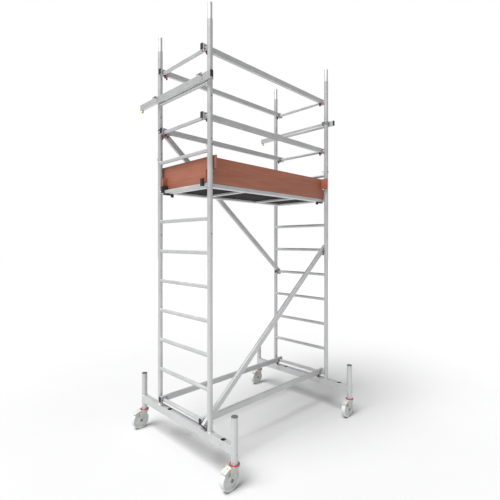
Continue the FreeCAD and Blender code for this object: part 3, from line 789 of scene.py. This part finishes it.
def post_cap():
    """A round cap with a sunk middle, standing on Z = 0."""
    cap = rod("post_cap", POST_R, 5 * MM, (0, 0, 2.5 * MM), "Z", 48, edge=1.4 * MM, segments=3)
    open_edit(cap)
    pick_faces(cap, lambda c, n: n.z > 0.99)
    bpy.ops.mesh.inset(thickness=3.2 * MM)
    bpy.ops.mesh.inset(thickness=0.8 * MM, depth=-0.9 * MM)
    close_edit()
    smooth(cap)
    return cap


def end_caps():
    """Caps on the rails, braces and support arms, and on the end posts."""
    parts = []
    cap = tube_cap(RAIL_W, RAIL_H)
    for member in MEMBERS:
        place, length = member_place(member)
        start = CAP_T - RAIL_OVERRUN
        parts.append(copy_at(cap, place @ at(start, 0, RAIL_RISE)))
        parts.append(copy_at(cap, place @ at(length - start, 0, RAIL_RISE) @ turned("Z", 180)))
    scrap(cap)
    low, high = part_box("support_arms")
    cap = tube_cap(RAIL_W, high.z - low.z)
    for x in (low.x + RAIL_W / 2, high.x - RAIL_W / 2):
        z = (low.z + high.z) / 2
        parts.append(copy_at(cap, at(x, low.y, z) @ turned("Z", 90)))
        parts.append(copy_at(cap, at(x, high.y, z) @ turned("Z", -90)))
    scrap(cap)
    fit(join("tube_caps", parts), "tower", BLACK, ["end_caps"])
    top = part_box("end_posts")[1].z
    spots = [at(x, y, top) for x in FRAME_X for y in POST_Y]
    fit(repeat("domed_post_caps", post_cap(), spots), "tower", GREY)


def latches():
    """Every latch: its own eased body with four thumb ridges across the lever."""
    for member in MEMBERS:
        place, length = member_place(member)
        for side in SIDES:
            node = "latch_" + member + "_" + side
            parts = [eased("lever", node, 1.2 * MM, 2)]
            mirror = Matrix.Scale(-1, 4, (1, 0, 0))
            local = place if side == "left" else place @ at(length, 0, 0) @ mirror
            ridge = block("ridge", RIDGE_LOW, RIDGE_HIGH, 0.6 * MM)
            lever = at(LATCH_PIN[0], 0, LATCH_PIN[1]) @ Matrix.Rotation(LEVER_ANGLE, 4, "Y")
            for step in range(THUMB_RIDGES):
                along = RIDGE_START + RIDGE_PITCH * step
                parts.append(copy_at(ridge, local @ lever @ at(along, 0, RIDGE_RISE)))
            scrap(ridge)
            fit(join("red_" + node, parts), node, RED, [node])


# ---------------------------------------------------------------- castors
def wheel_master():
    """A cast wheel about the Y axis: rounded tread, sunk web, standing hub, open bore."""
    wheel = rod("wheel", WHEEL_R, WHEEL_W, (0, 0, 0), "Y", 72, edge=5 * MM, segments=4)
    open_edit(wheel)
    pick_faces(wheel, lambda c, n: abs(n.y) > 0.99)
    for inwards, outwards in WHEEL_STEPS:
        bpy.ops.mesh.inset(thickness=inwards * MM, depth=outwards * MM)
    mesh = bmesh.from_edit_mesh(wheel.data)
    inner = min(v.co.xz.length for v in mesh.verts)
    bpy.ops.mesh.inset(thickness=inner - AXLE_BORE)
    bpy.ops.mesh.bridge_edge_loops()
    close_edit()
    smooth(wheel, 28)
    return wheel


def hex_bolt(half):
    """A bolt across Y with a chamfered hexagon head, a washer and a nut."""
    parts = [rod("shank", AXLE_BORE - SHANK_PLAY, 2 * half, (0, 0, 0), "Y", 24, edge=0.8 * MM)]
    for side in (-1, 1):
        centre = (0, side * (LEG_FACE + 0.8 * MM), 0)
        parts.append(rod("washer", BOLT_R + 1.5 * MM, WASHER_T, centre, "Y", 32, edge=0.3 * MM))
        depth = BOLT_H - 2.2 * MM
        centre = (0, side * (LEG_FACE + WASHER_T + depth / 2), 0)
        parts.append(rod("head", BOLT_R, depth, centre, "Y", 6, edge=0.9 * MM))
    return join("bolt", parts)


def wheels_and_bolts():
    """A wheel and its axle bolt at every corner."""
    wheel = wheel_master()
    bolt = hex_bolt(LEG_FACE + BOLT_H)
    for corner in CORNERS:
        centre = middle("wheel_" + corner)
        place = Matrix.Translation(centre)
        fit(copy_at(wheel, place, "cast_wheel_" + corner), "road_wheel_" + corner, WHEEL,
            ["wheel_" + corner])
        fit(copy_at(bolt, place, "axle_bolt_" + corner), "castor_" + corner, STEEL_DARK,
            ["axle_" + corner])
    scrap(wheel)
    scrap(bolt)


def fork_ribs(centre):
    """Pressed ribs down the outside of both legs, from the crown towards the axle."""
    parts = []
    for side in (-1, 1):
        face = side * LEG_FACE
        y0, y1 = sorted((face - side * RIB_SINK, face + side * RIB_RISE))
        for start, end in FORK_RIBS:
            a = Vector((start[0] * MM, 0, start[1] * MM))
            b = Vector((end[0] * MM, 0, end[1] * MM))
            run = b - a
            rib = block("rib", (-RIB_HALF_W, y0, 0), (RIB_HALF_W, y1, run.length), 1.0 * MM, 3)
            tilt = math.degrees(math.atan2(run.x, run.z))
            parts.append(copy_at(rib, Matrix.Translation(centre + a) @ turned("Y", tilt)))
            scrap(rib)
    return parts


def forks():
    """The pressed forks with their ribs."""
    for corner in CORNERS:
        centre = middle("wheel_" + corner)
        parts = [eased("legs", "fork_" + corner, 1.1 * MM, 3)] + fork_ribs(centre)
        fit(join("pressed_fork_" + corner, parts), "castor_" + corner, CREAM,
            ["fork_" + corner])


def pedals():
    """Curved brake pedals with tread ridges across them and a red release spot."""
    lift = Matrix.Rotation(PEDAL_LIFT, 4, "Y")
    for corner in CORNERS:
        centre = middle("wheel_" + corner)
        pivot = centre + PEDAL_PIVOT
        swing = Matrix.Translation(pivot) @ lift @ Matrix.Translation(-pivot)
        parts = [eased("pedal", "pedal_" + corner, 0.9 * MM, 2)]
        for degrees in PEDAL_RIDGES:
            ridge = block("ridge", TREAD_LOW, TREAD_HIGH, 0.7 * MM)
            around = Matrix.Translation(centre) @ turned("Y", -degrees)
            parts.append(copy_at(ridge, swing @ around))
            scrap(ridge)
        fit(join("brake_pedal_" + corner, parts), "brake_" + corner, CREAM,
            ["pedal_" + corner])
        spot = rod("spot", SPOT_R, SPOT_T, (0, 0, 0), "X", 24, edge=0.7 * MM)
        place = swing @ Matrix.Translation(centre) @ turned("Y", -SPOT_ANGLE) @ at(PEDAL_OUTER, 0, 0)
        piece = copy_at(spot, place, "release_spot_" + corner)
        scrap(spot)
        fit(piece, "brake_" + corner, RED_RING)


# ---------------------------------------------------------------- deck and toe boards
def screw_head():
    """A flat screw head with a sunk drive, standing on Z = 0."""
    head = rod("screw", SCREW_R, SCREW_T, (0, 0, 0), "Z", 16, edge=0.4 * MM, segments=1)
    open_edit(head)
    pick_faces(head, lambda c, n: n.z > 0.99)
    bpy.ops.mesh.inset(thickness=2.0 * MM)
    bpy.ops.mesh.inset(thickness=0.3 * MM, depth=-0.5 * MM)
    close_edit()
    return head


def deck_screws():
    """Screws along the deck panels' ends and through the hinge leaves and straps."""
    low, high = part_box("deck_panels")
    run = high.y - low.y - 2 * SCREW_FROM_SIDE
    spots = []
    for side in (-1, 1):
        end = high.x if side > 0 else low.x
        inner = MIDDLE_X + side * CROSS_BEAM_X
        for x in (end - side * SCREW_FROM_END, inner + side * SCREW_FROM_SEAM):
            for step in range(PANEL_SCREWS):
                y = low.y + SCREW_FROM_SIDE + step * run / (PANEL_SCREWS - 1)
                spots.append(at(x, y, high.z))
    leaf_low, leaf_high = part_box("hatch_hinges")
    for x in (leaf_low.x + LEAF_MIDDLE, leaf_high.x - LEAF_MIDDLE):
        for shift in LEAF_SCREWS:
            spots.append(at(x + shift, leaf_low.y + LEAF_SCREW_INSET, high.z + LEAF_T))
    fit(repeat("deck_screws", screw_head(), spots), "tower", ZINC)
    strap_low, strap_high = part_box("hatch_straps")
    spots = [at(x, strap_high.y - inset, high.z + LEAF_T)
             for x in (strap_low.x + STRAP_MIDDLE, strap_high.x - STRAP_MIDDLE)
             for inset in STRAP_SCREWS]
    fit(repeat("strap_screws", screw_head(), spots), "hatch", ZINC)


def hatch_handle():
    """A flush pull: a pressed plate with its grip lying folded flat in it."""
    low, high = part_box("hatch_panel")
    x, y, z = (low.x + high.x) / 2, high.y - PULL_FROM_EDGE, high.z
    half_x, half_y = PULL_HALF
    plate = block("plate", (x - half_x, y - half_y, z - PULL_SINK),
                  (x + half_x, y + half_y, z + PULL_T), 0.7 * MM)
    open_edit(plate)
    pick_faces(plate, lambda c, n: n.z > 0.99)
    bpy.ops.mesh.inset(thickness=PULL_RIM)
    bpy.ops.mesh.inset(thickness=1.5 * MM, depth=-1.3 * MM)
    close_edit()
    smooth(plate)
    reach_x, reach_y = WIRE_REACH
    wire_z = z + WIRE_RISE
    grip = rod("grip", WIRE_R, GRIP_LENGTH, (x, y + reach_y, wire_z), "X", 20, edge=1 * MM)
    arms = [rod("arm", WIRE_ARM_R, 2 * reach_y, (x + side * reach_x, y, wire_z), "Y", 16,
                edge=0.8 * MM)
            for side in (-1, 1)]
    hinge = rod("hinge", WIRE_R, HINGE_LENGTH, (x, y - reach_y, wire_z), "X", 20, edge=1 * MM)
    fit(join("hatch_pull", [plate, grip, hinge] + arms), "hatch", ZINC)


def deck_rivets():
    """Rivets through the side beams into the claws' tongues and the cross beams."""
    z = DECK_HIGH.z - DECK_RIVET_DROP
    spots = []
    for y, turn in ((DECK_LOW.y, 90), (DECK_HIGH.y, -90)):
        for x in DECK_RIVETS:
            spots.append(at(MIDDLE_X + x * MM, y, z) @ turned("X", turn))
    fit(repeat("deck_rivets", rivet(), spots), "tower", ZINC)


def eased_pieces():
    """The small castings, mouldings and boards, each with its edges eased as made."""
    castings = (
        ("claw_cheeks", "claws", "tower", ZINC, "zinc_steel", 0.5, 2),
        ("spring_clips", "joint_clips", "tower", ZINC, "zinc_steel", 0.8, 2),
        ("post_stems", "castor_stems", "tower", ZINC, "zinc_steel", 0.9, 2),
        ("red_collars", "castor_rings", "tower", RED_RING, "red_ring", 1.5, 3),
        ("open_spigots", "spigots", "tower", ALUMINIUM_Z, "satin_aluminium", 0.7, 2),
        ("hooked_deck_claws", "deck_claws", "tower", BLACK_CAST, "black_casting", 1.5, 3),
        ("film_toe_boards", "toe_boards", "tower", BOARD_X, "orange_board", 1.6, 3),
        ("arm_clamps", "arm_couplers", "tower", ZINC, "zinc_steel", 0.9, 2),
        ("wall_hooks", "arm_hooks", "tower", LIME, "lime_plastic", 1.6, 3),
        ("fixed_leaves", "hatch_hinges", "tower", ZINC, "zinc_steel", 0.4, 2),
        ("hatch_leaves", "hatch_straps", "hatch", ZINC, "zinc_steel", 0.4, 2),
        ("turn_lock_far_left", "lift_lock_far_left", "lock_far_left", BLACK,
         "black_plastic", 1.4, 3),
        ("turn_lock_near_right", "lift_lock_near_right", "lock_near_right", BLACK,
         "black_plastic", 1.4, 3),
    )
    for name, node, body, finish, slot, width, segments in castings:
        fit(eased(name, node, width * MM, segments), body, finish, [node])


# ---------------------------------------------------------------- arms
def threaded_stem(start, end, y, z):
    """A stem along X whose thread stands in rings."""
    length = abs(end - start)
    rings = int(length / THREAD_PITCH)
    stem = rod("stem", STEM_R, length, ((start + end) / 2, y, z), "X", 20)
    open_edit(stem, "EDGE")
    pick_edges(stem, lambda a, b: abs(a.x - b.x) > 1 * MM)
    bpy.ops.mesh.subdivide(number_cuts=rings * 2 - 1)
    step = length / (rings * 2)
    low = min(start, end)

    def groove(a, b):
        same = abs(a.x - b.x) < 0.1 * step
        return same and round((a.x - low) / step) % 2 == 1

    pick_edges(stem, groove)
    bpy.ops.transform.resize(value=(1, THREAD_ROOT, THREAD_ROOT), center_override=(0, y, z))
    close_edit()
    smooth(stem, 50)
    return stem


def hand_screws():
    """A threaded stem with a boss and a cross bar for every clamp."""
    for corner in CORNERS:
        node = "hand_screw_" + corner
        low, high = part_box(node)
        outward = -1 if corner.endswith("left") else 1
        y, z = (low.y + high.y) / 2, (low.z + high.z) / 2
        bar_x = low.x + SCREW_KNOB_R if outward < 0 else high.x - SCREW_KNOB_R
        inner = high.x if outward < 0 else low.x
        boss_x = bar_x - outward * BOSS_INSET
        bar_length = high.y - low.y - BAR_SHORTER
        parts = [threaded_stem(inner, boss_x, y, z)]
        parts.append(rod("boss", BOSS_R, BOSS_LENGTH, (boss_x, y, z), "Y", 28,
                         edge=1.5 * MM, segments=3))
        parts.append(rod("bar", BAR_R, bar_length, (bar_x, y, z), "Y", 20, edge=1 * MM))
        for end in (low.y + SCREW_KNOB_R, high.y - SCREW_KNOB_R):
            parts.append(rod("knob", SCREW_KNOB_R, 2 * SCREW_KNOB_R, (bar_x, end, z), "Y", 24,
                             edge=3 * MM, segments=4))
        fit(join("threaded_" + node, parts), "screw_" + corner, STEEL_WORN, [node])


def clamp_bolts():
    """A hexagon bolt on the outer side of every clamp ring."""
    head = rod("head", CLAMP_BOLT_R, CLAMP_BOLT_H, (0, 0, 2.2 * MM), "Z", 6, edge=0.6 * MM)
    washer = rod("washer", CLAMP_WASHER_R, CLAMP_WASHER_T, (0, 0, 0.4 * MM), "Z", 24,
                 edge=0.3 * MM)
    bolt = join("clamp_bolt", [head, washer])
    low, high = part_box("arm_couplers")
    z = (low.z + high.z) / 2
    spots = []
    for x, side in zip(FRAME_X, (-1, 1)):
        for y in FRAME_Y:
            spots.append(at(x - side * CLAMP_BOLT_OUT, y, z) @ turned("Y", -90 * side))
    fit(repeat("clamp_bolts", bolt, spots), "tower", ZINC)


def arm_rivets():
    """One dark rivet through the middle of each arm, between its clamps."""
    low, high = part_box("support_arms")
    z, y = (low.z + high.z) / 2, (low.y + high.y) / 2 - ARM_RIVET_SHIFT
    spots = []
    for x0 in (low.x, high.x - RAIL_W):
        spots.append(at(x0, y, z) @ turned("Y", -90))
        spots.append(at(x0 + RAIL_W, y, z) @ turned("Y", 90))
    fit(repeat("arm_rivets", rivet(), spots), "tower", STEEL_DARK)


def fluted_side(centre, normal):
    """True for every third facet around an upright grip."""
    facet = math.atan2(normal.y, normal.x) / (2 * math.pi / GRIP_SIDES) - 0.5
    return abs(normal.z) < 0.1 and round(facet) % 3 == 0


def lock_knobs():
    """A fluted grip under the pivot of each lift-off lock."""
    for corner, side in (("far_left", -1), ("near_right", 1)):
        low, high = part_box("lift_lock_" + corner)
        x = high.x - LOCK_PIVOT if side < 0 else low.x + LOCK_PIVOT
        centre = (x, (low.y + high.y) / 2, low.z - GRIP_DROP)
        grip = rod("lock_grip_" + corner, GRIP_R, GRIP_H, centre, "Z", GRIP_SIDES, edge=1.6 * MM)
        open_edit(grip)
        pick_faces(grip, fluted_side)
        bpy.ops.mesh.inset(thickness=0.5 * MM, depth=-1.2 * MM, use_individual=True)
        close_edit()
        smooth(grip)
        fit(grip, "lock_" + corner, BLACK)


# ---------------------------------------------------------------- floor, light and camera
def studio():
    """A pale floor, even air with a white backdrop, and one broad lamp from above."""
    clear_selection()
    bpy.ops.mesh.primitive_plane_add(size=FLOOR_SIZE, location=(0, 0, 0))
    floor = bpy.context.object
    floor.name = "studio_floor"
    floor.data.materials.append(floor_paint())
    world = bpy.data.worlds.new("studio_air")
    world.use_nodes = True
    nodes, links = world.node_tree.nodes, world.node_tree.links
    air = nodes["Background"]
    air.inputs["Color"].default_value = AIR_COLOR
    air.inputs["Strength"].default_value = AIR_STRENGTH
    backdrop = nodes.new("ShaderNodeBackground")
    backdrop.inputs["Color"].default_value = BACKDROP_COLOR
    backdrop.inputs["Strength"].default_value = 1.0
    seen = nodes.new("ShaderNodeLightPath")
    blend = nodes.new("ShaderNodeMixShader")
    links.new(seen.outputs["Is Camera Ray"], blend.inputs[0])
    links.new(air.outputs[0], blend.inputs[1])
    links.new(backdrop.outputs[0], blend.inputs[2])
    links.new(blend.outputs[0], nodes["World Output"].inputs["Surface"])
    bpy.context.scene.world = world
    lamp = bpy.data.lights.new("skylight", "SUN")
    lamp.energy = LAMP_STRENGTH
    lamp.angle = LAMP_SPREAD
    holder = bpy.data.objects.new("skylight", lamp)
    bpy.context.scene.collection.objects.link(holder)
    holder.rotation_euler = LAMP_TRAVEL.to_track_quat("-Z", "Y").to_euler()


def camera():
    """Stands at the near left, level, looking across the tower."""
    lens = bpy.data.cameras.new("view")
    lens.sensor_width = CAMERA_FILM
    lens.lens = CAMERA_LENS
    lens.shift_y = CAMERA_SHIFT
    lens.clip_end = CAMERA_REACH
    holder = bpy.data.objects.new("view", lens)
    bpy.context.scene.collection.objects.link(holder)
    holder.location = CAMERA_PLACE
    holder.rotation_euler = CAMERA_TURN
    bpy.context.scene.camera = holder
    bpy.context.scene.view_settings.view_transform = "Standard"


camera()
studio()
cover_nodes()
fluted_rungs()
rung_welds()
beam_and_foot_welds()
claw_rivets()
end_caps()
latches()
wheels_and_bolts()
forks()
pedals()
eased_pieces()
deck_screws()
deck_rivets()
hatch_handle()
hand_screws()
clamp_bolts()
arm_rivets()
lock_knobs()
